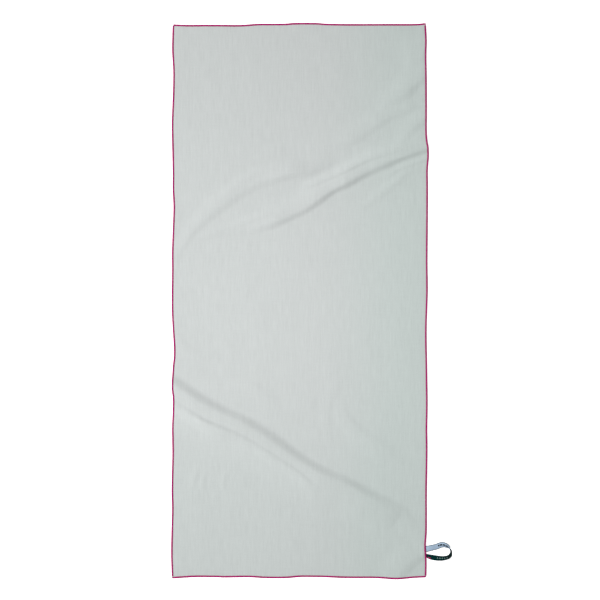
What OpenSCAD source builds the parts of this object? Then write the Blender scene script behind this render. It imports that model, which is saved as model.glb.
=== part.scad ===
// Quick dry travel towel.
//
// One sheet of thin microfibre cloth, serged on its four sides with a three-thread overlock,
// and a ribbon hanging loop whose two tails are caught in the right-hand side near the foot end.
// The towel lies flat, face up.  Origin: the centre of the underside.  +X runs to the right-hand
// side, +Y to the head end, +Z up out of the face.
//
// The cloth is limp and folds anywhere.  Its two halves are rigid here and turn about one fold
// line across the middle, so the sheet and the two long side seams are each cut at that line.

/* [Cloth] */
// Width of the towel over both side seams
towel_w = 550; // [400:10:800]
// Length of the towel over both end seams
towel_l = 1200; // [800:10:1600]
// Thickness of the cloth
cloth_t = 1; // [0.9:0.05:1.5]

/* [Overlock] */
// Width of the stitch, from the edge of the cloth to the needle line
stitch_w = 3.4; // [2.6:0.1:6]
// Thickness of the thread laid on one face of the cloth
thread_t = 0.35; // [0.2:0.05:0.4]

/* [Hanging loop] */
// Width of the woven ribbon
ribbon_w = 12.7; // [8:0.1:14]
// Thickness of the ribbon
ribbon_t = 0.35; // [0.25:0.05:0.4]
// Distance from the foot end to the middle of the loop
loop_from_foot = 55; // [45:1:300]
// How far each tail is caught inside the side seam
tail_caught = 8; // [6:0.5:20]

/* [Hidden] */
// Outer outline of the towel
side_x = towel_w / 2;
end_y = towel_l / 2;

// The stitches squeeze the rim of the cloth to half its thickness
rim_t = cloth_t / 2;
rim_mid = thread_t + rim_t / 2;
rim_top = thread_t + rim_t;
// The loopers meet on the cut edge, and each wraps its half of it this far in
edge_wrap = 0.4;
// The needle thread lies in a line just inside the loopers, a little thinner than they do
needle_w = 0.4;
needle_t = thread_t * 0.85;
looper_w = stitch_w - needle_w;
// More than the height of any of it
over_all = cloth_t + 2 * thread_t + 1;

// Gap between the two halves at the fold line
fold_gap = 0.3;

// The two ribbon tails: how far along the seam each lies from the middle of the loop, and the
// width that it is caught at, as a share of the ribbon's.  The lower one is caught pinched.
UPPER_TAIL = [7.4, 1];
LOWER_TAIL = [-6.1, 0.55];
// Room around a tail in the cloth and the seam
tail_room = 0.05;
tail_z = thread_t + ribbon_t / 2;
loop_y = loop_from_foot - end_y;

// Middle line of the free ribbon, point by point round the loop.  Each point is its distance out
// from the side seam, its distance along the seam from the middle of the loop, its height, the
// angle that the ribbon leans up from flat, and its width as a share of the ribbon's.
LOOP = [
    [ 0.3, UPPER_TAIL[0], tail_z, 0, UPPER_TAIL[1]],
    [10.0,   9.5,  2.0, 10, 1],
    [22.0,  13.2,  3.0, 18, 1],
    [33.0,  16.8,  3.5, 24, 1],
    [44.0,  14.2,  4.6, 32, 1],
    [50.5,   8.0,  6.6, 46, 1],
    [53.4,   0.5,  9.8, 60, 1],
    [52.0,  -7.0, 13.0, 54, 1],
    [45.0, -11.6, 14.4, 40, 1],
    [32.0, -13.0, 12.6, 32, 1],
    [19.0, -11.6,  8.6, 26, 0.96],
    [ 8.0,  -9.0,  3.8, 15, 0.78],
    [ 0.3, LOWER_TAIL[0], tail_z, 0, LOWER_TAIL[1]]
];
// Cross-sections between one of those points and the next
steps = 5;

RUNS = [
    "head_end", "foot_end",
    "left_side_head", "left_side_foot", "right_side_head", "right_side_foot"
];
THREADS = ["needle_thread", "upper_looper_thread", "lower_looper_thread"];

// ---- Building blocks ----

// A flat slab of the towel's outline, with its sides moved in by `inset`
module sheet(inset, bottom, top) {
    translate([inset - side_x, inset - end_y, bottom])
        cube([towel_w - 2 * inset, towel_l - 2 * inset, top - bottom]);
}

// A frame along the rim, from `outer` to `inner` in from the edge
module rim_band(outer, inner, bottom, top) {
    difference() {
        sheet(outer, bottom, top);
        sheet(inner, bottom - 1, top + 1);
    }
}

// What lies on one side of the fold line: side 1 is the head end, -1 the foot end
module half(side) {
    intersection() {
        children();
        translate([-towel_w, side > 0 ? fold_gap / 2 : -towel_l - fold_gap / 2, -1])
            cube([2 * towel_w, towel_l, over_all + 1]);
    }
}

// What lies in the stretch of rim that one run of stitches covers, mitred at the corners
module run_only(run) {
    deep = 2 * stitch_w;
    across = side_x - deep;
    along = end_y - deep;
    at_end = run == "head_end" || run == "foot_end";
    outline = at_end
        ? [[-side_x, end_y], [side_x, end_y], [across, along], [-across, along]]
        : [[-side_x, end_y], [-across, along], [-across, fold_gap / 2], [-side_x, fold_gap / 2]];
    on_right = run == "right_side_head" || run == "right_side_foot";
    on_foot = run == "foot_end" || run == "left_side_foot" || run == "right_side_foot";
    intersection() {
        children();
        mirror([on_right ? 1 : 0, 0, 0])
            mirror([0, on_foot ? 1 : 0, 0])
                translate([0, 0, -1])
                    linear_extrude(over_all + 1)
                        polygon(outline);
    }
}

// One box for each ribbon tail, `reach` in from the edge and `past` out of it
module at_tails(reach, past, bottom, top, room = 0) {
    for (tail = [UPPER_TAIL, LOWER_TAIL])
        let (width = ribbon_w * tail[1] + 2 * room)
            translate([side_x - reach, loop_y + tail[0] - width / 2, bottom])
                cube([reach + past, width, top - bottom]);
}

// ---- Cloth ----

// The rim is squeezed thin between the threads, the cloth is full thickness inside it, and it
// rides up over the ribbon tails
module whole_cloth() {
    difference() {
        union() {
            sheet(stitch_w, 0, cloth_t);
            rim_band(edge_wrap, stitch_w + 1, thread_t, rim_top);
        }
        at_tails(tail_caught + tail_room, 1, -1, thread_t + ribbon_t, tail_room);
    }
}

module cloth_head_half() {
    color("#ccd2d1") half(1) whole_cloth();
}

module cloth_foot_half() {
    color("#ccd2d1") half(-1) whole_cloth();
}

// ---- Overlock threads ----

// The needle thread: a row on the face, and a row of its loops on the back
module needle_thread() {
    rim_band(looper_w, stitch_w, rim_top, rim_top + needle_t);
    rim_band(looper_w, stitch_w, thread_t - needle_t, thread_t);
}

// The upper looper covers the face of the rim and the upper half of the cut edge
module upper_looper_thread() {
    rim_band(0, looper_w, rim_top, rim_top + thread_t);
    rim_band(0, edge_wrap, rim_mid, rim_top);
}

// The lower looper covers the back of the rim and the lower half of the cut edge
module lower_looper_thread() {
    rim_band(0, looper_w, 0, thread_t);
    rim_band(0, edge_wrap, thread_t, rim_mid);
}

// One thread of one run, with a slot in the edge where each ribbon tail comes out
module overlock_thread(run, thread) {
    color("#b04e80") run_only(run) difference() {
        union() {
            if (thread == "needle_thread") needle_thread();
            if (thread == "upper_looper_thread") upper_looper_thread();
            if (thread == "lower_looper_thread") lower_looper_thread();
        }
        at_tails(2 * edge_wrap, 1, thread_t, thread_t + ribbon_t, tail_room);
    }
}

// ---- Hanging loop ----

// The two ends of the ribbon, flat under the rim of the cloth
module hang_loop_tails() {
    color("#123636") at_tails(tail_caught, 0, thread_t, thread_t + ribbon_t);
}

// Point t of the way from b to c on a smooth curve through a, b, c and d
function through(a, b, c, d, t) =
    0.5 * (2 * b + (c - a) * t + (2 * a - 5 * b + 4 * c - d) * t * t
        + (3 * b - 3 * c + d - a) * t * t * t);

// A point before the first one, placed so that the ribbon leaves square to the seam
function square_start(p, next) = [2 * p[0] - next[0], next[1], next[2], next[3], next[4]];

function unit(v) = v / norm(v);

// The smooth middle line, with its lean and width, as a list of stations
function stations(points) =
    let (
        last = len(points) - 1,
        line = concat(
            [square_start(points[0], points[1])],
            points,
            [square_start(points[last], points[last - 1])]
        )
    )
    concat(
        [for (i = [1 : last], j = [0 : steps - 1])
            through(line[i - 1], line[i], line[i + 1], line[i + 2], j / steps)],
        [points[last]]
    );

// The four corners of the ribbon's cross-section at one station, going the way `ahead`
function corners(station, ahead) =
    let (
        middle = [station[0], station[1], station[2]],
        leaning = [0, cos(station[3]), sin(station[3])],
        across = unit(leaning - (leaning * ahead) * ahead),
        side = across * ribbon_w * station[4] / 2,
        up = cross(ahead, across) * ribbon_t / 2
    )
    [middle - side - up, middle + side - up, middle + side + up, middle - side + up];

module hang_loop_ribbon() {
    line = stations(LOOP);
    count = len(line);
    place = [for (s = line) [s[0], s[1], s[2]]];
    ahead = [for (i = [0 : count - 1])
        i == 0 ? [1, 0, 0] : i == count - 1 ? [-1, 0, 0] : unit(place[i + 1] - place[i - 1])];
    points = [for (i = [0 : count - 1]) each corners(line[i], ahead[i])];
    walls = [for (i = [0 : count - 2], k = [0 : 3])
        let (a = 4 * i + k, b = 4 * i + (k + 1) % 4)
        each [[a, a + 4, b], [b, a + 4, b + 4]]];
    last = 4 * (count - 1);
    ends = [[0, 1, 2], [0, 2, 3], [last, last + 2, last + 1], [last, last + 3, last + 2]];
    color("#123636")
        translate([side_x, loop_y, 0])
            polyhedron(points, concat(walls, ends));
}

// ---- Nodes ----

cloth_head_half();
cloth_foot_half();
for (run = RUNS, thread = THREADS)
    overlock_thread(run, thread);
hang_loop_ribbon();
hang_loop_tails();
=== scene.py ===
# %% [markdown]
# # A quick dry travel towel, laid out flat
# The towel is one thin sheet of grey microfibre.  A machine has overlocked its four sides with
# magenta thread, and a woven ribbon makes a hanging loop in the right-hand seam near the foot
# end.  The CAD frame gives the real size and place of each piece.  Here every plain solid is
# replaced by the real thing: rumpled cloth, sewn threads and a twisted ribbon.

import bpy
import numpy as np
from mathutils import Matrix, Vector


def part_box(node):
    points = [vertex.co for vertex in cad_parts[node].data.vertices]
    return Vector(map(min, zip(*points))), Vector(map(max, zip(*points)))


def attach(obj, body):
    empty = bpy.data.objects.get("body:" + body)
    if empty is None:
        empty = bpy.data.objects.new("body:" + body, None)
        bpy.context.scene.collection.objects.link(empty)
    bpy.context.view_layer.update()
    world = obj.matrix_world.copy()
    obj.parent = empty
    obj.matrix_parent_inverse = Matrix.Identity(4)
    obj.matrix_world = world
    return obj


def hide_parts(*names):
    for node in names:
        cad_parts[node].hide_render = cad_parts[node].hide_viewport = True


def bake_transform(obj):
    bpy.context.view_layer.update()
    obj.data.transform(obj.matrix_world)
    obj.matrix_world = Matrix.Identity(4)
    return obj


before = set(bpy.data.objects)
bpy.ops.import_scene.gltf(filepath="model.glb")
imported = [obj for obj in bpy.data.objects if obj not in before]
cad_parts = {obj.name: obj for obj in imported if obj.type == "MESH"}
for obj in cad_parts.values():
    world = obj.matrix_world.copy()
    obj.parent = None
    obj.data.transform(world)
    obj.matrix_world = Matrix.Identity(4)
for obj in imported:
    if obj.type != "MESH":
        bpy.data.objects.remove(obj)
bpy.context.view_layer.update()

# %% [markdown]
# ## Measures
# The work is done in millimetres, as a sewing room does it, and each finished mesh is turned to
# metres.  The outline over the seams, the cloth's own edge and the place of the ribbon's ends
# come from the boxes of the CAD solids.  The thin things are set by what such a towel is made of:
# cloth a millimetre thick, which the stitches squeeze to half of that, and half-inch ribbon.

# %% Measures from the CAD boxes
MM = 0.001


def node_box(name):
    """The lowest and highest corner of a CAD node, in millimetres."""
    low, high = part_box(name)
    return np.array(low) / MM, np.array(high) / MM


side_thread_high = node_box("right_side_head_upper_looper_thread")[1]
end_thread_high = node_box("head_end_upper_looper_thread")[1]
cloth_high = node_box("cloth_head_half")[1]
tails_low = node_box("hang_loop_tails")[0]
HALF_WIDTH, HALF_LENGTH = side_thread_high[0], end_thread_high[1]
RIM_IN = HALF_WIDTH - cloth_high[0]
CLOTH_THICK = 1.0
RIM_LOW, RIM_THICK = 0.35, 0.5
RIBBON_WIDTH, RIBBON_THICK = 12.7, 0.35
print(f"half width {HALF_WIDTH:.1f}, half length {HALF_LENGTH:.1f}, cloth edge {RIM_IN:.2f} in")

# %% [markdown]
# ## Camera
# The towel is seen from straight above, from high up, so a long lens keeps its sides parallel.
# The camera stands over the middle of the cloth and its up direction is the head end.

# %% Camera
LENS_MM, SENSOR_MM = 100, 36
CAMERA_AT = (0.0003, 0.0018, 3.605)
camera_data = bpy.data.cameras.new("camera_above")
camera_data.lens, camera_data.sensor_width = LENS_MM, SENSOR_MM
camera_data.clip_start, camera_data.clip_end = 0.1, 100
camera = bpy.data.objects.new("camera_above", camera_data)
camera.location = CAMERA_AT
bpy.context.scene.collection.objects.link(camera)
bpy.context.scene.camera = camera
print("camera sees", round(CAMERA_AT[2] * SENSOR_MM / LENS_MM, 3), "m across")

# %% [markdown]
# ## Helpers for finishes
# Colours are written as the hex values that a paint card or a screen gives, and one function
# turns them to the linear light that the renderer adds up.  A second one adds a shader node of
# any kind and joins it up, so a finish reads as a short recipe.

# %% Colour and node helpers
def linear(hex_colour):
    """The sRGB curve undone for each channel: a straight part near black, a 2.4 power above."""
    c = np.array([int(hex_colour[i : i + 2], 16) for i in (1, 3, 5)]) / 255
    light = np.where(c <= 0.04045, c / 12.92, ((c + 0.055) / 1.055) ** 2.4)
    return (*light.tolist(), 1.0)


def add(tree, kind, links=(), **settings):
    """Adds one node.

    Links are {input: what it gets}, or just what the inputs get in their order: a value, the
    output of another node, or a node, whose first output is meant.  Settings are the node's own.
    """
    made = tree.nodes.new("ShaderNode" + kind)
    for key, value in settings.items():
        setattr(made, key, value)
    inputs = links if isinstance(links, dict) else dict(enumerate(links))
    for key, value in inputs.items():
        if isinstance(value, bpy.types.Node):
            value = value.outputs[0]
        if isinstance(value, bpy.types.NodeSocket):
            tree.links.new(value, made.inputs[key])
        else:
            made.inputs[key].default_value = value
    return made


def new_material(name):
    """A material with an empty node tree, its tree and its output node."""
    material = bpy.data.materials.new(name)
    material.use_nodes = True
    material.node_tree.nodes.clear()
    return material, material.node_tree, add(material.node_tree, "OutputMaterial")


def layered(tree, base, layers):
    """Colours laid over a base in turn: each shows in full where its share is 1, and not at all
    where it is 0."""
    for share, hex_colour in layers:
        base = add(tree, "Mix", {0: share, 6: base, 7: linear(hex_colour)},
                   data_type="RGBA").outputs[2]
    return base


print("mid grey #808080 is", [round(v, 3) for v in linear("#808080")[:3]], "in linear light")

# %% [markdown]
# ## Helpers for meshes
# A mesh is a list of points and of faces.  Both are worked out as whole arrays, and the arrays
# go into the mesh in one step, which is much faster than adding the points one by one.

# %% Mesh helper
def mesh_piece(name, points, faces, corner_uv, material, attributes=None):
    """Makes an object from points (mm), arrays of triangles and quads, and a UV per corner."""
    mesh = bpy.data.meshes.new(name)
    corners = np.concatenate([f.ravel() for f in faces]).astype(np.int32)
    sizes = np.concatenate([np.full(len(f), f.shape[1]) for f in faces])
    starts = np.concatenate([[0], np.cumsum(sizes)[:-1]]).astype(np.int32)
    mesh.vertices.add(len(points))
    mesh.vertices.foreach_set("co", (points * MM).astype(np.float32).ravel())
    mesh.loops.add(len(corners))
    mesh.loops.foreach_set("vertex_index", corners)
    mesh.polygons.add(len(sizes))
    mesh.polygons.foreach_set("loop_start", starts)
    mesh.update(calc_edges=True)
    mesh.shade_smooth()
    layer = mesh.uv_layers.new(name="surface")
    layer.uv.foreach_set("vector", corner_uv.astype(np.float32).ravel())
    for key, values in (attributes or {}).items():
        extra = mesh.attributes.new(key, "FLOAT", "POINT")
        extra.data.foreach_set("value", values.astype(np.float32).ravel())
    mesh.materials.append(material)
    made = bpy.data.objects.new(name, mesh)
    bpy.context.scene.collection.objects.link(made)
    print(name, "triangles", int((sizes - 2).sum()))
    return made


# %% Curve helper
def smooth_line(knots, step):
    """A Catmull-Rom curve through the rows of knots.

    Between two knots it is a cubic whose ends take their direction from the neighbours; the
    missing neighbours at the ends are mirrored.  Samples stand about step apart.
    """
    k = np.asarray(knots, float)
    k = np.vstack([2 * k[0] - k[1], k, 2 * k[-1] - k[-2]])
    longest = np.linalg.norm(np.diff(k[:, :2], axis=0), axis=1).max()
    count = max(2, int(np.ceil(longest / step)))
    t = (np.arange(count) / count)[None, :, None]
    a, b, c, d = (k[i : len(k) - 3 + i, None, :] for i in range(4))
    line = 0.5 * (2 * b + (c - a) * t + (2 * a - 5 * b + 4 * c - d) * t**2
                  + (3 * b - 3 * c + d - a) * t**3)
    return np.vstack([line.reshape(-1, k.shape[1]), k[-2]])


def ease(value, low, high):
    """0 below low, 1 above high, and a smooth step (3t^2 - 2t^3) between."""
    t = np.clip((value - low) / (high - low), 0, 1)
    return t * t * (3 - 2 * t)


# %% [markdown]
# ## The rumples in the cloth
# Cloth that was packed in a pouch never lies quite flat again.  It keeps low creases, and light
# from one side shows each of them as a dark line with a paler bank beside it.  Cloth simulation
# can give creases, but not these ones in these places, so each is drawn one by one: a line with a
# steep side on its left and a gentle bank on its right.  A row is x, y, height, the half width of
# the steep side and the width of the bank.

# %% Creases, drawn one by one
CREASES = {
    "lower long": [
        (-284, -160, 4.4, 12, 80), (-225, -202, 6.2, 12.5, 85), (-167, -235, 6.2, 11.5, 90),
        (-116, -258, 6.2, 12, 90), (-56, -295.5, 5.6, 13, 90), (2, -338, 5.2, 11.5, 90),
        (58, -370, 6.0, 12, 85), (102, -388, 5.4, 11, 80), (151, -414, 4.6, 12, 70),
        (194, -435, 3.0, 12, 60), (229, -452, 0.9, 8, 50), (253, -487, 0.3, 8, 40),
        (262, -520, 0, 8, 30)],
    "lower long, foot": [
        (-284, -210, 0.6, 5, 25), (-239, -238, 1.8, 5.5, 25), (-203, -259, 3.5, 4.8, 25),
        (-168, -273, 3.5, 5.2, 25), (-131, -289, 1.9, 4, 22), (-88, -314, 1.3, 3.4, 20),
        (-44, -342, 1.0, 3.4, 20), (1, -372, 1.2, 4, 20), (24, -392, 0.8, 4, 20),
        (49, -405, 0, 4, 20)],
    "upper long": [
        (284, 329, 2.8, 5.5, 45), (223, 307, 3.8, 6, 50), (179, 288, 3.8, 8, 50),
        (142, 271, 3.8, 7.6, 50), (106, 251, 5.0, 8.3, 50), (71, 234, 3.9, 6.3, 50),
        (42, 213, 3.6, 8.2, 50), (12, 193, 3.0, 7.2, 50), (-24, 176, 3.2, 7.8, 50),
        (-52, 164, 3.6, 8.6, 50), (-88, 154, 2.2, 9, 50), (-124, 147, 1.1, 9, 45),
        (-167, 141, 0.6, 7, 40), (-215, 133, 0, 6, 30)],
    "upper long, beside": [
        (245, 329, 0, 4, 20), (210, 321, 0.8, 4, 20), (179, 313, 1.2, 4, 20),
        (141, 299, 1.5, 4, 20), (105, 281, 1.6, 4, 20), (70, 266, 1.4, 4, 20),
        (35, 252, 1.1, 4.5, 20), (4, 238, 0, 4, 20)],
    "upper left arc": [
        (88, 288, 0, 8, 30), (49, 280, 1.7, 8.5, 35), (20, 271, 2.7, 9, 35),
        (-16, 268, 3.8, 9, 35), (-52, 259, 2.8, 9, 35), (-88, 248, 1.7, 8.5, 35),
        (-118, 232, 1.5, 9.5, 35), (-146, 214, 1.6, 9.5, 35), (-175, 193, 1.5, 9, 35),
        (-205, 168, 1.1, 8, 30), (-233, 138, 0.8, 6.5, 28), (-253, 108, 0.5, 6, 25),
        (-268, 79, 0, 6, 20)],
    "upper left arc, beside": [
        (0, 288, 0, 6, 18), (-52, 284, 0.5, 6, 18), (-94, 270, 0.6, 7, 18),
        (-131, 248, 0.5, 7, 18), (-160, 226, 0.3, 6, 18), (-186, 202, 0, 6, 18)],
    "left, below the arc": [
        (-50, 188, 0, 4, 14), (-80, 179, 0.5, 4, 14), (-109, 169, 0.7, 4, 14),
        (-160, 151, 0.4, 5, 14), (-210, 133, 0.4, 4, 14), (-240, 125, 0, 4, 14)],
    "upper right, top": [
        (290, 540, 1.0, 12, 50), (258, 515, 1.0, 12, 50), (232, 496, 0, 10, 40)],
    "upper right, first": [
        (284, 486, 1.4, 9, 45), (253, 464, 1.7, 10, 45), (233, 443, 1.8, 11, 45),
        (201, 428, 1.1, 8.5, 35), (166, 412, 0, 6, 25)],
    "upper right, second": [
        (262, 414, 0, 6, 30), (236, 407, 0.9, 7, 30), (198, 395, 1.1, 6.5, 35),
        (174, 378, 1.3, 8.5, 40), (144, 360, 1.1, 8, 40), (115, 340, 1.1, 9, 40),
        (78, 330, 0.9, 9, 40), (30, 328, 0.6, 8, 35), (-8, 330, 0, 8, 30)],
    "upper right, third": [
        (288, 400, 1.2, 8, 35), (253, 372, 1.1, 8, 35), (223, 342, 0.4, 8, 30),
        (206, 322, 0, 6, 20)],
    "right, under the long one": [
        (284, 310, 0.5, 3, 10), (246, 294, 0.7, 3, 10), (214, 282, 0.7, 3, 10),
        (186, 262, 0, 3, 10)],
    "right, lower": [
        (250, 286, 0, 7, 16), (223, 262, 0.6, 7, 16), (183, 229, 0.6, 7, 16),
        (150, 206, 0.4, 6, 16), (124, 188, 0, 6, 16)],
    "middle right, outer": [
        (86, -214, 0, 6, 30), (110, -250, 0.7, 7.5, 34), (134, -276, 0.8, 8.5, 38),
        (164, -297, 1.1, 10, 40), (196, -312, 0.7, 11, 40), (238, -326, 0, 10, 36)],
    "middle right, inner": [
        (98, -158, 0, 6, 22), (80, -200, 0.28, 7, 24), (66, -235, 0.2, 6, 24),
        (66, -284, 0.15, 5, 20), (70, -310, 0, 5, 18)],
    "left, short": [
        (-158, -168, 0, 8, 26), (-100, -179, 0.8, 8, 28), (-62, -201, 0.4, 10, 28),
        (-42, -234, 0.2, 9, 26), (-30, -270, 0, 7, 22)],
    "left edge, short": [
        (-284, -58, 0.3, 6, 22), (-261, -76, 0.4, 7, 24), (-238, -102, 0.6, 8, 24),
        (-212, -112, 0.4, 6, 20), (-190, -112, 0, 6, 18)],
    "left, shortest": [
        (-64, -26, 0, 6, 22), (-107, -58, 0.16, 6, 22), (-138, -88, 0.18, 6, 22),
        (-160, -108, 0, 6, 20)],
    "left foot, first": [
        (-216, -352, 0, 4, 10), (-222, -380, 0.35, 4, 10), (-232, -420, 0, 4, 10)],
    "left foot, second": [
        (-196, -362, 0, 4, 10), (-206, -392, 0.3, 4, 10), (-203, -420, 0, 4, 10)],
    "left foot, third": [
        (-150, -360, 0, 4, 10), (-160, -388, 0.3, 4, 10), (-158, -422, 0, 4, 10)],
    "foot corner": [
        (288, -536, 0.8, 7, 60), (269, -554, 1.0, 7, 60), (252, -570, 1.0, 7, 60),
        (236, -585, 0.9, 7, 60), (216, -606, 0.8, 7, 60)],
    "foot corner, beside": [
        (262, -545, 0, 5, 50), (248, -561, 0.4, 5, 50), (234, -575, 0.5, 5, 50),
        (220, -588, 0.4, 5, 50), (202, -606, 0.4, 5, 50)],
}
print(len(CREASES), "creases")

# %% Height of one crease
CREASE_STEP = 2.5
END_FADE = (4, 16)
POINTS_AT_ONCE = 8000


def crease_height(x, y, knots):
    """Height (mm) that one crease adds at each point.

    d is the distance from the crease line, positive to its left.  Within the steep half width
    the height falls as half of (1 - sine); beyond it on the right it is half of (1 + cosine)
    over the bank's width, and beyond it on the left it is nothing.  Past the ends of the line the
    height fades out over the distances of END_FADE.
    """
    line = smooth_line(knots, CREASE_STEP)
    ahead = np.gradient(line[:, :2], axis=0)
    ahead /= np.linalg.norm(ahead, axis=1, keepdims=True)
    reach = (line[:, 3] + line[:, 4]).max()
    low, high = line[:, :2].min(0) - reach, line[:, :2].max(0) + reach
    near = np.flatnonzero((x > low[0]) & (x < high[0]) & (y > low[1]) & (y < high[1]))
    height = np.zeros(len(x))
    for part in np.array_split(near, len(near) // POINTS_AT_ONCE + 1):
        away = np.stack([x[part], y[part]], 1)[:, None] - line[None, :, :2]
        k = (away**2).sum(2).argmin(1)
        away = away[np.arange(len(part)), k]
        d = away[:, 1] * ahead[k, 0] - away[:, 0] * ahead[k, 1]
        past_end = np.abs((away * ahead[k]).sum(1))
        tall, steep, bank = line[k, 2], line[k, 3], line[k, 4]
        fall = 0.5 * (1 - np.sin(np.pi / 2 * np.clip(d / steep, -1, 1)))
        rise = 0.5 * (1 + np.cos(np.pi * np.clip((-steep - d) / bank, 0, 1)))
        height[part] = tall * fall * rise * (1 - ease(past_end, *END_FADE))
    return height


# %% [markdown]
# ## Waves in the edges
# A sewn edge is never quite straight.  A few offsets, listed along each side and joined
# by a smooth curve, move the edge in or out by one to three millimetres.  The move fades out
# towards the middle of the cloth.

# %% Waves of the four edges
EDGE_WAVES = {
    "right": [(-600, -1.6), (-564, -1.2), (-531, -2.9), (-499, -0.8), (-467, -0.6), (-409, -0.5),
              (-323, 0.8), (-274, 0.3), (-220, 1.1), (-150, 0.2), (-63, -1), (20, 1.4),
              (80, 0.8), (153, 1.3), (240, 1.8), (283, 1.5), (310, 3.6), (330, 3.2),
              (345, 0.8), (370, -0.7), (456, -0.6), (530, -1.6), (563, -0.9), (600, -2.7)],
    "left": [(-600, -1.7), (-539, -3.3), (-453, -1.4), (-409, -2.3), (-338, -0.8), (-306, -1),
             (-274, -1.3), (-240, 0.3), (-210, 0.6), (-185, -1.8), (-145, 0.2), (-106, 2.8),
             (-20, -1.8), (67, -1.3), (110, -1.4), (197, 1.7), (241, 0), (283, 0),
             (370, -1.8), (402, -1.3), (456, 0.8), (499, 1.2), (543, -1.2), (600, 0)],
    "head": [(-275, 2.3), (-240, 3.5), (-200, 3.2), (-140, 3.7), (-118, 3), (-90, 1.1),
             (-60, 1), (-32, 0.7), (-10, -0.8), (33, -0.7), (60, 0.9), (118, 1.7),
             (200, 1.5), (250, 1.4), (275, -0.5)],
    "foot": [(-275, 0.2), (-225, -2.7), (-182, -2.5), (-161, -1.8), (-110, -2.4), (-75, -0.6),
             (-32, -0.4), (0, -2.9), (33, -3), (54, -2.5), (97, -0.8), (161, -0.6),
             (204, 1.9), (226, 1), (247, -0.9), (275, -2.2)],
}
WAVE_STEP = 4
FADE_IN = 70
waves = {side: smooth_line(knots, WAVE_STEP) for side, knots in EDGE_WAVES.items()}
for side, line in waves.items():
    print(side, "edge from", line[:, 1].min().round(1), "to", line[:, 1].max().round(1), "mm")


def sideways(x, y):
    """How far (mm) a point of the flat cloth moves in x and in y: each edge's wave, times a
    smooth step that is 1 at that edge and 0 from FADE_IN inwards."""
    wave = {side: np.interp(y if side in ("right", "left") else x, line[:, 0], line[:, 1])
            for side, line in waves.items()}
    move_x = (wave["right"] * ease(x, HALF_WIDTH - FADE_IN, HALF_WIDTH)
              + wave["left"] * ease(-x, HALF_WIDTH - FADE_IN, HALF_WIDTH))
    move_y = -(wave["head"] * ease(y, HALF_LENGTH - FADE_IN, HALF_LENGTH)
               + wave["foot"] * ease(-y, HALF_LENGTH - FADE_IN, HALF_LENGTH))
    return move_x, move_y


# %% [markdown]
# ## The cloth
# The sheet is a closed shell a millimetre thick.  Its top is a grid of lines three millimetres
# apart, with closer lines along the seams and where the towel folds in half.  Its underside
# uses every second line, because little light falls there, and a strip of triangles joins the two
# round the edge.  Along the seam the stitches squeeze the cloth to half its thickness.

# %% Lines of the cloth's grid
SEAM_DEEP = 8.0
SEAM_LINES = np.array([RIM_IN, 1.9, 3.4, 5.0, SEAM_DEEP])
FOLD_LOW, FOLD_HIGH = -6.0, 18.0
CELLS_ACROSS = 178
CELLS_FOOT, CELLS_FOLD, CELLS_HEAD = 196, 22, 192


def grid_lines(half, stretches):
    """The seam lines at both ends, and each stretch (to, count) divided evenly between them."""
    lines = [-half + SEAM_LINES]
    for to, count in stretches:
        lines.append(np.linspace(lines[-1][-1], to, count + 1)[1:])
    return np.concatenate([*lines, (half - SEAM_LINES)[-2::-1]])


grid_x = grid_lines(HALF_WIDTH, [(HALF_WIDTH - SEAM_DEEP, CELLS_ACROSS)])
grid_y = grid_lines(HALF_LENGTH, [(FOLD_LOW, CELLS_FOOT), (FOLD_HIGH, CELLS_FOLD),
                                  (HALF_LENGTH - SEAM_DEEP, CELLS_HEAD)])
print("grid", len(grid_x), "by", len(grid_y))

# %% [markdown]
# ### How high each point lies
# All the creases are added up.  Between them the cloth still isn't flat, so a low swell is added
# too: sine waves in every direction, long ones higher than short ones.  Their directions come
# from a random generator with a fixed seed, so the towel is the same each time.

# %% Relief of the cloth
flat_y, flat_x = (a.ravel() for a in np.meshgrid(grid_y, grid_x, indexing="ij"))
relief = sum(crease_height(flat_x, flat_y, knots) for knots in CREASES.values())

SWELL_LENGTHS, SWELL_WAVES = (210, 130, 80, 48), 5
SWELL_SHARE, SWELL_LIFT = 0.0011, 0.6
rng = np.random.default_rng(7)
for length in SWELL_LENGTHS:
    turn = rng.uniform(0, np.pi, SWELL_WAVES)
    phase = rng.uniform(0, 2 * np.pi, SWELL_WAVES)
    swell = sum(np.sin(2 * np.pi / length * (flat_x * np.cos(a) + flat_y * np.sin(a)) + p)
                for a, p in zip(turn, phase))
    relief = relief + SWELL_SHARE * length * (swell / SWELL_WAVES + SWELL_LIFT)
relief = np.maximum(relief, 0).reshape(len(grid_y), len(grid_x))
print("relief from", relief.min().round(2), "to", relief.max().round(2), "mm")

# %% Squeeze at the seam, and room for the ribbon's ends
SQUEEZED_TO, PLAIN_FROM = 3.3, 5.2
LOOP_FROM_FOOT = 55
LOOP_Y = -HALF_LENGTH + LOOP_FROM_FOOT
LOWER_TAIL_SHARE = 0.55
TAIL_AT = (7.4, -6.1)
TAIL_HALF = (RIBBON_WIDTH / 2, RIBBON_WIDTH * LOWER_TAIL_SHARE / 2)
TAIL_FADE = 3


def squeeze(x, y):
    """1 on the seam, and from SQUEEZED_TO inwards a smooth step down to 0 at PLAIN_FROM."""
    inside = np.minimum(HALF_WIDTH - np.abs(x), HALF_LENGTH - np.abs(y))
    return 1 - ease(inside, SQUEEZED_TO, PLAIN_FROM)


def over_tails(x, y):
    """1 over the two ribbon ends caught in the seam, easing to 0 over TAIL_FADE beyond them."""
    along = sum(1 - ease(np.abs(y - LOOP_Y - at), half, half + TAIL_FADE)
                for at, half in zip(TAIL_AT, TAIL_HALF))
    return np.clip(along, 0, 1) * ease(x, tails_low[0] - TAIL_FADE, tails_low[0])


print("the loop's middle is at y", LOOP_Y.round(1), "mm")

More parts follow.
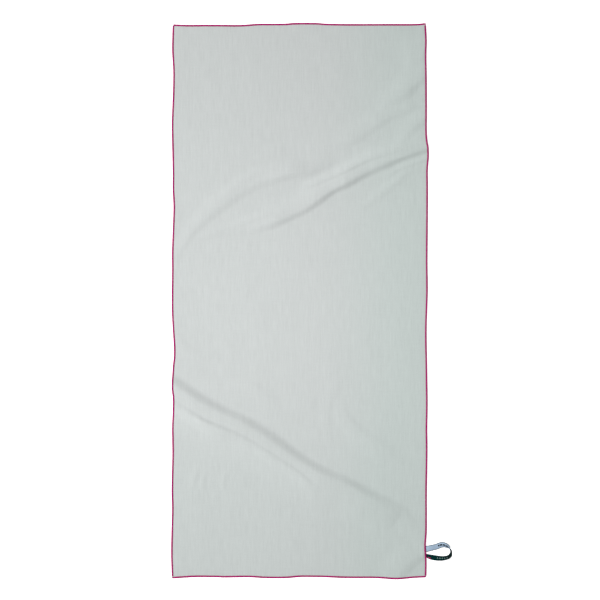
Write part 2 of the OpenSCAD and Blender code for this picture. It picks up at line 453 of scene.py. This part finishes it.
# %% Heights of the two faces
# The underside keeps to the lowest of the nine heights around each point, so that with its
# wider grid it never cuts up through the top.
squeezed = squeeze(flat_x, flat_y).reshape(relief.shape)
lifted = RIBBON_THICK * over_tails(flat_x, flat_y).reshape(relief.shape)
top = relief + lifted + CLOTH_THICK + squeezed * (RIM_LOW + RIM_THICK - CLOTH_THICK)
spread = np.pad(relief, 1, mode="edge")
lowest = np.min([spread[i : i + relief.shape[0], j : j + relief.shape[1]]
                 for i in range(3) for j in range(3)], axis=0)
under_plain = (lowest + squeezed * RIM_LOW)[::2, ::2]
under = under_plain + lifted[::2, ::2]
print("top up to", top.max().round(2), "mm, underside from", under.min().round(2), "mm")

# %% [markdown]
# ### Finish of the cloth
# Suede-like microfibre: polyester and polyamide threads split finer than silk, woven and
# lightly brushed.  The nap scatters light softly and evenly, with a faint sheen at low angles.
# One grey would look like paper, and an image texture would repeat itself, so the tone is added
# up from stretched noise: fine and slow streaks along the warp, where some threads are tighter
# than others, streaks across, and the grain of the nap.  The real threads stand 0.3 mm apart, too
# fine to show, so the weave is drawn at 1.5 mm.

# %% Streaks of the cloth
cloth_material, tree, out = new_material("brushed_microfibre")
surface = add(tree, "UVMap", uv_map="surface")


def streaks(across_mm, along_mm, detail=2.0):
    """Noise whose grain is across_mm wide and along_mm long (the UV is in millimetres)."""
    scaled = add(tree, "Mapping", {"Vector": surface, "Scale": (1 / across_mm, 1 / along_mm, 1)})
    return add(tree, "TexNoise", {"Vector": scaled, "Scale": 1.0, "Detail": detail,
                                  "Roughness": 0.55})


nap = streaks(1.6, 1.6, 3.0)
TONES = [(streaks(2.4, 34), 0.35), (streaks(9.0, 200), 0.12), (streaks(40, 2.4), 0.14), (nap, 0.46)]
tone = 0.0
for streak, weight in TONES:
    tone = add(tree, "Math", (streak, weight, tone), operation="MULTIPLY_ADD")
light_share = add(tree, "MapRange", {"Value": tone, "From Min": 0.35, "From Max": 0.72})
cloth_grey = layered(tree, linear("#b2b6b5"), [(light_share, "#c2c6c5")])
print(len(TONES), "layers of tone")

# %% Greener towards the right and the foot
# The cloth is tinted greener towards the right-hand side and the foot end.
GREENER = (0.945, 1.0, 0.978, 1)
place = add(tree, "SeparateXYZ", [surface])
to_right = add(tree, "MapRange", {"Value": place.outputs["X"], "From Min": 20.0,
                                  "From Max": 250.0}, interpolation_type="SMOOTHSTEP")
to_foot = add(tree, "MapRange", {"Value": place.outputs["Y"], "From Min": -150.0,
                                 "From Max": -450.0, "To Max": 0.35},
              interpolation_type="SMOOTHSTEP")
green_tint_share = add(tree, "Math", (to_right, to_foot), operation="ADD", use_clamp=True)
cloth_colour = add(tree, "Mix", {0: green_tint_share, 6: cloth_grey, 7: GREENER},
                   data_type="RGBA", blend_type="MULTIPLY").outputs[2]
print("green tint", GREENER[:3])

# %% Weave and shader of the cloth
# A wave texture at scale 1 repeats every 0.314 units, so 0.21 gives the 1.5 mm.
WEAVE_SCALE = 0.21
weave = [add(tree, "TexWave", {"Vector": surface, "Scale": WEAVE_SCALE, "Distortion": 0.6,
                               "Detail": 1.0}, bands_direction=axis).outputs["Fac"]
         for axis in "XY"]
crossings = add(tree, "Math", weave, operation="MULTIPLY")
cloth_height = add(tree, "Math", (nap, 1.2, crossings), operation="MULTIPLY_ADD")
cloth_bump = add(tree, "Bump", {"Height": cloth_height, "Strength": 0.25, "Distance": 0.0002})
cloth_shader = add(tree, "BsdfPrincipled", {
    "Base Color": cloth_colour, "Roughness": 0.92, "IOR": 1.5,
    "Specular IOR Level": 0.2, "Sheen Weight": 0.12, "Sheen Roughness": 0.45,
    "Normal": cloth_bump})
tree.links.new(cloth_shader.outputs["BSDF"], out.inputs["Surface"])
print("material", cloth_material.name)

# %% [markdown]
# ### The shell
# A sheet with real thickness is a closed shell: a top, an underside and a strip that joins them
# all the way round.  A Solidify modifier would give it one thickness everywhere, but the seam is
# thinner than the rest, so both faces are built from their own heights.

# %% Build the cloth
def shell_faces(rows, columns):
    """Faces of the shell: quads of the top, quads of the underside (every second line, turned
    over), and round the edge three triangles for each underside quad's side."""
    a = np.arange(rows * columns).reshape(rows, columns)
    b = np.arange((rows // 2 + 1) * (columns // 2 + 1)).reshape(rows // 2 + 1, -1) + a.size
    top_quads = np.stack([a[:-1, :-1], a[:-1, 1:], a[1:, 1:], a[1:, :-1]], -1).reshape(-1, 4)
    low_quads = np.stack([b[:-1, :-1], b[1:, :-1], b[1:, 1:], b[:-1, 1:]], -1).reshape(-1, 4)
    fine = np.concatenate([a[0, :-1], a[:-1, -1], a[-1, :0:-1], a[:0:-1, 0]])
    coarse = np.concatenate([b[0, :-1], b[:-1, -1], b[-1, :0:-1], b[:0:-1, 0]])
    a0, a1, a2 = fine[::2], fine[1::2], np.roll(fine, -2)[::2]
    b0, b1 = coarse, np.roll(coarse, -1)
    strip = np.concatenate([np.stack([a0, b0, a1], 1), np.stack([a1, b0, b1], 1),
                            np.stack([a1, b1, a2], 1)])
    return [strip, np.concatenate([top_quads, low_quads])]


low_y, low_x = (a.ravel() for a in np.meshgrid(grid_y[::2], grid_x[::2], indexing="ij"))
all_x, all_y = np.concatenate([flat_x, low_x]), np.concatenate([flat_y, low_y])
move_x, move_y = sideways(all_x, all_y)
cloth_points = np.stack([all_x + move_x, all_y + move_y,
                         np.concatenate([top.ravel(), under.ravel()])], 1)
cloth_faces = shell_faces(len(grid_y), len(grid_x))
cloth_corners = np.concatenate([f.ravel() for f in cloth_faces])
cloth = mesh_piece("microfibre_cloth", cloth_points, cloth_faces,
                   np.stack([all_x, all_y], 1)[cloth_corners], cloth_material)

# %% [markdown]
# ## Sweeping a profile along a path
# A thread and a ribbon are both made by carrying a small outline along a path, as clay is pushed
# through a die.  Each place on the path needs to know which way is wide, so that the outline
# doesn't roll over on its way.

# %% Sweep helper
def sweep(path, wide, outline):
    """Carries an outline along a path and closes both ends.

    At each path point stand the outline's points: the first number times the wide direction
    (made square to the path) and the second times the direction square to both.  Returns the
    points, the faces and a UV per corner, in millimetres along and shares around.
    """
    ahead = np.gradient(path, axis=0)
    ahead /= np.linalg.norm(ahead, axis=1, keepdims=True)
    wide = wide - (wide * ahead).sum(1, keepdims=True) * ahead
    wide /= np.linalg.norm(wide, axis=1, keepdims=True)
    lift = np.cross(ahead, wide)
    outline = np.broadcast_to(outline, (len(path), *np.shape(outline)[-2:]))
    points = path[:, None] + outline[..., :1] * wide[:, None] + outline[..., 1:] * lift[:, None]
    n, m = points.shape[:2]
    i = np.arange(n * m).reshape(n, m)
    j = np.roll(i, -1, axis=1)
    quads = np.stack([i[:-1], j[:-1], j[1:], i[1:]], -1).reshape(-1, 4)
    fan = np.arange(1, m - 1)
    caps = np.concatenate([np.stack([np.zeros_like(fan), fan + 1, fan], 1),
                           np.stack([np.zeros_like(fan), fan, fan + 1], 1) + (n - 1) * m])
    run = np.concatenate([[0], np.cumsum(np.linalg.norm(np.diff(path, axis=0), axis=1))])
    round_ = np.arange(m + 1) / m
    u = np.stack([run[:-1], run[:-1], run[1:], run[1:]], -1)[:, None] + np.zeros((1, m, 1))
    v = np.stack([round_[:-1], round_[1:], round_[1:], round_[:-1]], -1)[None] + 0 * u
    cap_uv = np.zeros((caps.size, 2))
    uv = np.concatenate([cap_uv, np.stack([u, v], -1).reshape(-1, 2)])
    return points.reshape(-1, 3), [caps, quads], uv


# %% [markdown]
# ## The overlocked seams
# A three-thread overlock machine sews the raw edge.  The needle thread runs in small stitches
# 3.3 mm in.  The upper looper lays a zigzag of thread from it over the top to the edge, the lower
# looper does the same underneath, and they lock together round the rim.  Each thread is real
# geometry: one stitch is drawn and repeated every 1.3 mm along the cloth's surface.

# %% One stitch of each thread
PITCH = 1.3
# A row is: share of the pitch, distance in from the edge, share of the way up from the underside
# to the top face, and extra height.
UPPER_STITCH = np.array([
    (0.00, 3.05, 1, 0.18), (0.13, 2.75, 1, 0.22), (0.22, 1.95, 1, 0.26), (0.28, 1.05, 1, 0.24),
    (0.33, 0.02, 1, 0.10), (0.42, -0.28, 0.74, 0), (0.58, -0.28, 0.74, 0), (0.67, 0.02, 1, 0.10),
    (0.72, 1.05, 1, 0.24), (0.78, 1.95, 1, 0.26), (0.87, 2.75, 1, 0.22)])
# The lower looper mirrors it on the underside, half a pitch later and a little tighter.
LOWER_STITCH = UPPER_STITCH * (1, 1, -1, -0.72) + (0.5, 0, 1, 0)
NEEDLE_STITCH = np.array([
    (0.06, 3.32, 1, 0.10), (0.26, 3.32, 1, 0.24), (0.70, 3.32, 1, 0.24), (0.90, 3.32, 1, 0.10),
    (0.95, 3.32, 0.4, 0), (0.93, 3.32, 0, -0.14), (1.03, 3.32, 0, -0.14), (1.01, 3.32, 0.4, 0)])
FACE_NORMALS = {"upper": (0.0, 0.0, 1.0), "lower": (0.0, 0.0, -1.0)}
print(len(UPPER_STITCH), "points to a looper's stitch,", len(NEEDLE_STITCH), "to the needle's")


def oval(half_wide, half_high, sides):
    """An ellipse's points: cosine times the half width, sine times the half height."""
    a = 2 * np.pi * np.arange(sides) / sides
    return np.stack([half_wide * np.cos(a), half_high * np.sin(a)], 1)


# A looper's thread is loose and spreads flat; the needle's is pulled tight and stays round.
OVAL_SIDES = 6
LOOPER_OUTLINE = oval(0.35, 0.17, OVAL_SIDES)
NEEDLE_OUTLINE = oval(0.17, 0.15, OVAL_SIDES)


def on_grid(lines_x, lines_y, values, x, y):
    """The value between grid lines: the mean of a cell's corners, weighted by nearness."""
    i = np.clip(np.searchsorted(lines_x, x) - 1, 0, len(lines_x) - 2)
    j = np.clip(np.searchsorted(lines_y, y) - 1, 0, len(lines_y) - 2)
    s = np.clip((x - lines_x[i]) / (lines_x[i + 1] - lines_x[i]), 0, 1)
    t = np.clip((y - lines_y[j]) / (lines_y[j + 1] - lines_y[j]), 0, 1)
    return ((values[j, i] * (1 - s) + values[j, i + 1] * s) * (1 - t)
            + (values[j + 1, i] * (1 - s) + values[j + 1, i + 1] * s) * t)


# %% [markdown]
# ### Finish of the threads
# Textured polyester overlock thread, dyed magenta: two soft plies twisted together.  The twist
# gives slanting light and dark lines, and the loose fibres give a little sheen.  Modelling each
# ply would double the points, so the plies are painted, with painted shade in the grooves between
# them: the UV runs in millimetres along the thread and in shares of a turn around it, and a sum
# of the two slants the lines.  The real twist turns every 1.2 mm, which is its size here too.

# %% Dyed thread
TWIST_MM, PLIES = 1.2, 2.0
thread_material, tree, out = new_material("dyed_polyester_thread")
place = add(tree, "SeparateXYZ", [add(tree, "UVMap", uv_map="surface")])
turned = add(tree, "Math", (place.outputs["Y"], PLIES), operation="MULTIPLY")
slant = add(tree, "Math", (place.outputs["X"], 1 / TWIST_MM, turned), operation="MULTIPLY_ADD")
ply = add(tree, "Math", (slant, 0.5), operation="PINGPONG")
# Painted shade: the thread's colour is darker in the grooves between the plies, where the bump is
# low, and lighter on their crowns.
light_share = add(tree, "MapRange", {"Value": ply, "From Min": 0.0, "From Max": 0.3})
thread_bump = add(tree, "Bump", {"Height": ply, "Strength": 0.6, "Distance": 0.00008})
thread_shader = add(tree, "BsdfPrincipled", {
    "Base Color": layered(tree, linear("#820a50"), [(light_share, "#b40f6e")]),
    "Roughness": 0.6, "IOR": 1.5, "Specular IOR Level": 0.1, "Sheen Weight": 0.03,
    "Sheen Roughness": 0.4, "Normal": thread_bump})
tree.links.new(thread_shader.outputs["BSDF"], out.inputs["Surface"])
print("material", thread_material.name)

# %% [markdown]
# ### Sewing
# The thread's path could be a Blender curve with a bevel, but each stitch has to follow the
# rumpled cloth closely, over the edge and back.  So the path is computed: the stitch is repeated,
# turned to its side, moved with the edge's waves, and each point takes its height from the cloth
# under it.  At the corners the side runs stop where the end runs cross them.

# %% Run a thread along a side
SIDE_TURNS = {"right": 0, "head": 1, "left": 2, "foot": 3}
OUTWARDS = [(1, 0), (0, 1), (-1, 0), (0, -1)]
END_CLEAR, SIDE_CLEAR = 0.35, 3.3
WANDER, WANDER_LENGTH, WANDER_FROM = 0.10, 17.0, 0.5
OVER_RIM = -0.1


def run_of_thread(side, stitch, outline, looper):
    """Repeats one stitch along a side of the towel and sweeps its outline.

    The stitch is laid out for the right side, where it runs towards the head end, and is turned
    by quarter turns for the others.  Its height is that of the underside, plus its share of the
    cloth's thickness there, plus its extra height.  A looper's thread lies flat on the face that
    it crosses, and flat on the rim where it goes round it.
    """
    turns = SIDE_TURNS[side]
    across, length = ((HALF_WIDTH, HALF_LENGTH - SIDE_CLEAR) if turns % 2 == 0
                      else (HALF_LENGTH, HALF_WIDTH - END_CLEAR))
    count = int(2 * length / PITCH) - 1
    pitch = 2 * length / (count + 1)
    along = -length + pitch * (np.arange(count)[:, None] + stitch[None, :, 0]).ravel()
    inwards, up, extra = (np.tile(stitch[:, i], count) for i in (1, 2, 3))
    # Hand-fed cloth wanders under the needle by a tenth of a millimetre.
    inwards = inwards + WANDER * np.sin(along / WANDER_LENGTH + turns) * (inwards > WANDER_FROM)
    c, s = OUTWARDS[turns]
    from_middle = across - inwards
    x, y = c * from_middle - s * along, s * from_middle + c * along
    high = on_grid(grid_x, grid_y, top, x, y)
    low = on_grid(grid_x[::2], grid_y[::2], under_plain, x, y)
    move = sideways(x, y)
    path = np.stack([x + move[0], y + move[1], low + up * (high - low) + extra], 1)
    if looper:
        over_rim = (inwards < OVER_RIM)[:, None]
        normal = np.where(over_rim, (c, s, 0.0), FACE_NORMALS[looper])
        wide = np.cross(normal, np.gradient(path, axis=0))
    else:
        wide = np.tile((-c, -s, 0.0), (len(path), 1))
    return sweep(path, wide, outline)


# %% Sew the four sides
NODES_OF_SIDE = {
    "right": ("right_side", "right_side_head", "right_side_foot"), "head": ("head_end",) * 2,
    "left": ("left_side", "left_side_head", "left_side_foot"), "foot": ("foot_end",) * 2}
THREADS = {"needle_thread": (NEEDLE_STITCH, NEEDLE_OUTLINE, None),
           "upper_looper_thread": (UPPER_STITCH, LOOPER_OUTLINE, "upper"),
           "lower_looper_thread": (LOWER_STITCH, LOOPER_OUTLINE, "lower")}
for side, names in NODES_OF_SIDE.items():
    for thread, (stitch, outline, looper) in THREADS.items():
        piece = mesh_piece(f"{names[0]}_{thread}_sewn",
                           *run_of_thread(side, stitch, outline, looper), thread_material)
        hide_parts(*(f"{n}_{thread}" for n in dict.fromkeys(names[1:])))
        if side in ("head", "foot"):
            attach(piece, f"{side}_half")
        else:
            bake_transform(piece)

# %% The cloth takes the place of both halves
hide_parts("cloth_head_half", "cloth_foot_half")
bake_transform(cloth)

# %% [markdown]
# ## The hanging loop
# A narrow woven ribbon is folded into a loop and its two ends are caught in the seam.  Lying on
# the table it doesn't stay flat: it leaves the seam flat, turns onto its edge at the far end, and
# comes back with its other face up, pinched together where the stitches hold it.  A simulated
# strip would fall as it likes, so its path is listed.  A row is: distance out from the
# seam, distance along it, height, lean of the width out of the flat in degrees, outward tilt,
# share of the width, and depth of the pinch.

# %% Path of the ribbon
LOOP = np.array([
    (-7.5, 7.8, 0.525, 0, 0, 1, 0), (0.3, 8.4, 0.525, 0, 0, 1, 0), (10, 11.2, 1.8, 6, 0, 1, 0),
    (20, 13.8, 2.4, 9, 0, 1, 0), (31, 17.8, 3.2, 12, 0.03, 1, 0.2),
    (38.5, 16.8, 4.4, 26, 0.02, 1, 0.6), (45.0, 12.6, 6.2, 38, -0.06, 1, 1.8),
    (48.4, 7.8, 8.2, 46, -0.55, 1, 2.4), (50.0, 2.2, 10.6, 50, -0.46, 1, 1.5),
    (49.2, -2.8, 12.4, 46, -0.52, 1, 0.7), (46.2, -6.4, 13.8, 42, -0.34, 1, 0),
    (40.2, -8.6, 14.2, 38, -0.10, 1, 0), (31, -10.0, 12.6, 32, 0, 1, 0.2),
    (18, -9.6, 8.2, 20, 0, 1, 0.6), (8, -8.2, 3.8, 11, 0, 0.9, 0.9),
    (0.3, -5.9, 0.525, 0, 0, 0.62, 0), (-7.5, -5.8, 0.525, 0, 0, 0.62, 0)])
RIBBON_STEP = 1.2
ribbon_line = smooth_line(LOOP, RIBBON_STEP)
outwards, along_seam, height, lean, tilt, width_share, pinch = ribbon_line.T

# Near the seam the ribbon goes where the cloth goes: in or out with the edge's wave over the
# first 14 mm, and up with the cloth's underside over the first 22 mm.
FOLLOWS_WAVE, FOLLOWS_HEIGHT = 14, 22
ribbon_x, ribbon_y = HALF_WIDTH + outwards, LOOP_Y + along_seam
seam_move = sideways(np.minimum(ribbon_x, HALF_WIDTH), ribbon_y)[0]
seam_low = on_grid(grid_x[::2], grid_y[::2], under_plain,
                   np.minimum(ribbon_x, HALF_WIDTH - 1), ribbon_y) - RIM_LOW
ribbon_path = np.stack([ribbon_x + seam_move * (1 - ease(outwards, 0, FOLLOWS_WAVE)), ribbon_y,
                        height + seam_low * (1 - ease(outwards, 0, FOLLOWS_HEIGHT))], 1)
ribbon_wide = np.stack([tilt, np.cos(np.radians(lean)), np.sin(np.radians(lean))], 1)
print(len(ribbon_path), "places along the ribbon")

# %% Outline of the ribbon
ACROSS = np.linspace(-0.5, 0.5, 11)
EDGE_FROM, EDGE_THIN = 0.45, 0.6


def ribbon_outline(width_share, depth):
    """A flat band: its face runs across, bowed by a cosine as deep as the pinch, half the
    thickness above and below, and thinner at its two edges."""
    wide = RIBBON_WIDTH * width_share[:, None] * ACROSS
    bow = -depth[:, None] * (1 - np.cos(2 * np.pi * ACROSS)) / 2
    half = RIBBON_THICK / 2 * np.where(np.abs(ACROSS) > EDGE_FROM, EDGE_THIN, 1.0)
    one_face = np.stack([wide, bow + half], -1)[:, ::-1]
    other_face = np.stack([wide, bow - half], -1)
    return np.concatenate([one_face, other_face], axis=1)[:, ::-1]


ribbon_points, ribbon_faces, ribbon_uv = sweep(
    ribbon_path, ribbon_wide, ribbon_outline(width_share, pinch))
print("ribbon length", ribbon_uv[:, 0].max().round(1), "mm, lowest",
      ribbon_points[:, 2].min().round(2), "mm")

# %% [markdown]
# ### Finish of the ribbon
# Woven polyester ribbon.  Its outer face is dark green and carries a generic row of pale woven
# lozenges and one short magenta bar; its inner face shows the pale back of the weave, with the
# dark thread of the pattern floating across it as a broken line.  Such a pattern is a matter of
# where each thread comes up, so it is made of tests on the place along and across the ribbon.
# The ribs are 0.5 mm apart in the real one and are drawn at 0.8 mm so that they show.

# %% Tests on the ribbon's place
ribbon_material, tree, out = new_material("woven_polyester_ribbon")
surface = add(tree, "UVMap", uv_map="surface")
place = add(tree, "SeparateXYZ", [surface])
run_mm, across_mm = place.outputs["X"], place.outputs["Y"]
from_middle = add(tree, "Math", [across_mm], operation="ABSOLUTE")
fibres = add(tree, "TexNoise", {"Vector": surface, "Scale": 2.2, "Detail": 2.0})


def where(*tests):
    """1 where every test holds, else 0: the product of the tests, each of which is an operation
    of the Math node and what it gets.  COMPARE gets a value, a middle and a half width."""
    product = 1.0
    for operation, *inputs in tests:
        test = add(tree, "Math", inputs, operation=operation)
        product = add(tree, "Math", (product, test), operation="MULTIPLY")
    return product


print("material", ribbon_material.name)

# %% Pattern of the ribbon
# A lozenge is where the distance along from its middle, plus a share of the distance across, is
# small.  Five of them stand 5.2 mm apart.
LOZENGE_STEP, FLOAT_STEP, RIB_STEP = 5.2, 6.5, 0.8
steps = add(tree, "Math", (run_mm, 1 / LOZENGE_STEP, 0.5), operation="MULTIPLY_ADD")
from_centre = add(tree, "Math", (steps, 0.5), operation="PINGPONG")
spread_out = add(tree, "Math", (from_middle, 0.17, from_centre), operation="MULTIPLY_ADD")
lozenges = where(("LESS_THAN", spread_out, 0.27), ("COMPARE", run_mm, 96.2, 13.0))
bar = where(("COMPARE", run_mm, 124.75, 3.25), ("COMPARE", across_mm, -3.4, 1.4))

stitches = add(tree, "Math", (run_mm, 1 / FLOAT_STEP), operation="MULTIPLY")
float_phase = add(tree, "Math", [stitches], operation="FRACT")
floats = where(("COMPARE", run_mm, 50.5, 15.5), ("LESS_THAN", from_middle, 1.8),
               ("LESS_THAN", float_phase, 0.84))
selvedge = where(("GREATER_THAN", from_middle, 5.1))
print("lozenges", LOZENGE_STEP, "mm apart, floats", FLOAT_STEP, "mm apart")

# %% Colours and shader of the ribbon
# Round the bend the pale face is painted greyer: painted shade where the ribbon rises onto its edge
# at the turn.
painted_shade_at_turn = add(tree, "MapRange", {"Value": run_mm, "From Min": 42.0, "From Max": 62.0},
           interpolation_type="SMOOTHSTEP")
green_face = layered(tree, linear("#001b1a"), [
    (fibres, "#032e2d"), (lozenges, "#7d9290"), (bar, "#8a1a50")])
pale_face = layered(tree, linear("#92adc6"), [
    (fibres, "#adbac9"), (painted_shade_at_turn, "#6d7b8a"), (floats, "#0c1218"), (selvedge, "#3a474b")])
inner = add(tree, "Attribute", attribute_name="inner_face").outputs["Fac"]
ribbon_colour = add(tree, "Mix", {0: where(("GREATER_THAN", inner, 0.5)), 6: green_face,
                                  7: pale_face}, data_type="RGBA").outputs[2]
ribs = add(tree, "Math", (run_mm, 1 / RIB_STEP), operation="MULTIPLY")
rib_height = add(tree, "Math", (ribs, 0.5), operation="PINGPONG")
ribbon_height = add(tree, "Math", (fibres, 0.4, rib_height), operation="MULTIPLY_ADD")
ribbon_bump = add(tree, "Bump", {"Height": ribbon_height, "Strength": 0.5, "Distance": 0.00006})
ribbon_shader = add(tree, "BsdfPrincipled", {
    "Base Color": ribbon_colour, "Roughness": 0.55, "IOR": 1.5, "Specular IOR Level": 0.02,
    "Normal": ribbon_bump})
tree.links.new(ribbon_shader.outputs["BSDF"], out.inputs["Surface"])
print(len(tree.nodes), "nodes in the ribbon's finish")

# %% Weave the ribbon
# The sweep's UV gives shares of the way round.  The pattern needs millimetres across, and an
# attribute that says which face is the inner one.
around = np.concatenate([ACROSS[::-1], ACROSS])
on_inner = np.repeat([0.0, 1.0], len(ACROSS))
rings = len(ribbon_path)
next_around = np.roll(around, -1)
quad_v = np.stack([around, next_around, next_around, around], -1) * RIBBON_WIDTH
ribbon_uv[-quad_v.size * (rings - 1):, 1] = np.tile(quad_v.ravel(), rings - 1)
ribbon = mesh_piece("hang_loop_ribbon_woven", ribbon_points, ribbon_faces, ribbon_uv,
                    ribbon_material, {"inner_face": np.tile(on_inner, rings)})
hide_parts("hang_loop_ribbon", "hang_loop_tails")
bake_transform(ribbon)

# %% Flat size of the cloth
print("flat size", 2 * HALF_WIDTH * MM, "by", 2 * HALF_LENGTH * MM, "m")

# %% [markdown]
# ## Floor and light
# The towel lies on a plain white table.  Most of the light comes evenly from a white room.  A
# large soft lamp far to the left adds the little direction that makes the rumples show, and a
# weak one low over the towel makes the middle a little lighter than the ends.  A sun lamp would
# light every part just as strongly; a lamp at the side leaves the right a little darker, as
# daylight from a window does.  The table is so wide that no low view sees its end.

# %% Floor
floor_material, tree, out = new_material("white_table_paint")
floor_shader = add(tree, "BsdfPrincipled", {
    "Base Color": linear("#fafafa"), "Roughness": 0.9, "Specular IOR Level": 0.1,
    "Emission Color": (1, 1, 1, 1), "Emission Strength": 0.7})
tree.links.new(floor_shader.outputs["BSDF"], out.inputs["Surface"])
FLOOR_HALF, FLOOR_LOW = 40, -0.0004
floor_mesh = bpy.data.meshes.new("floor")
floor_mesh.from_pydata([(x * FLOOR_HALF, y * FLOOR_HALF, FLOOR_LOW)
                        for x, y in ((-1, -1), (1, -1), (1, 1), (-1, 1))], [], [(0, 1, 2, 3)])
floor_mesh.materials.append(floor_material)
floor = bpy.data.objects.new("floor", floor_mesh)
bpy.context.scene.collection.objects.link(floor)
print("floor", 2 * FLOOR_HALF, "m wide")

# %% White room
world = bpy.data.worlds.new("white_room")
world.use_nodes = True
background = world.node_tree.nodes["Background"]
background.inputs["Color"].default_value = (1, 1, 1, 1)
# The walls look white to the lens but light the towel with less than a third of that.
to_lens = add(world.node_tree, "LightPath").outputs["Is Camera Ray"]
wall = add(world.node_tree, "MapRange", {"Value": to_lens, "To Min": 0.3, "To Max": 1.0})
world.node_tree.links.new(wall.outputs[0], background.inputs["Strength"])
bpy.context.scene.world = world
bpy.context.scene.view_settings.view_transform = "Standard"
print("world", world.name)

# %% Lamps
# A row is: place in metres, width of the disc in metres, power in watts.
LAMPS = {"side_lamp": ((-6.95, 0.6, 4.6), 3.0, 880),
         "overhead_lamp": ((-0.12, -0.06, 0.85), 0.6, 2.35)}
for name, (lamp_at, size, watts) in LAMPS.items():
    lamp_data = bpy.data.lights.new(name, "AREA")
    lamp_data.shape, lamp_data.size, lamp_data.energy = "DISK", size, watts
    lamp = bpy.data.objects.new(name, lamp_data)
    lamp.location = lamp_at
    lamp.rotation_euler = Vector(lamp_at).to_track_quat("Z", "Y").to_euler()
    lamp.visible_camera = False
    bpy.context.scene.collection.objects.link(lamp)
    print(name, watts, "W")
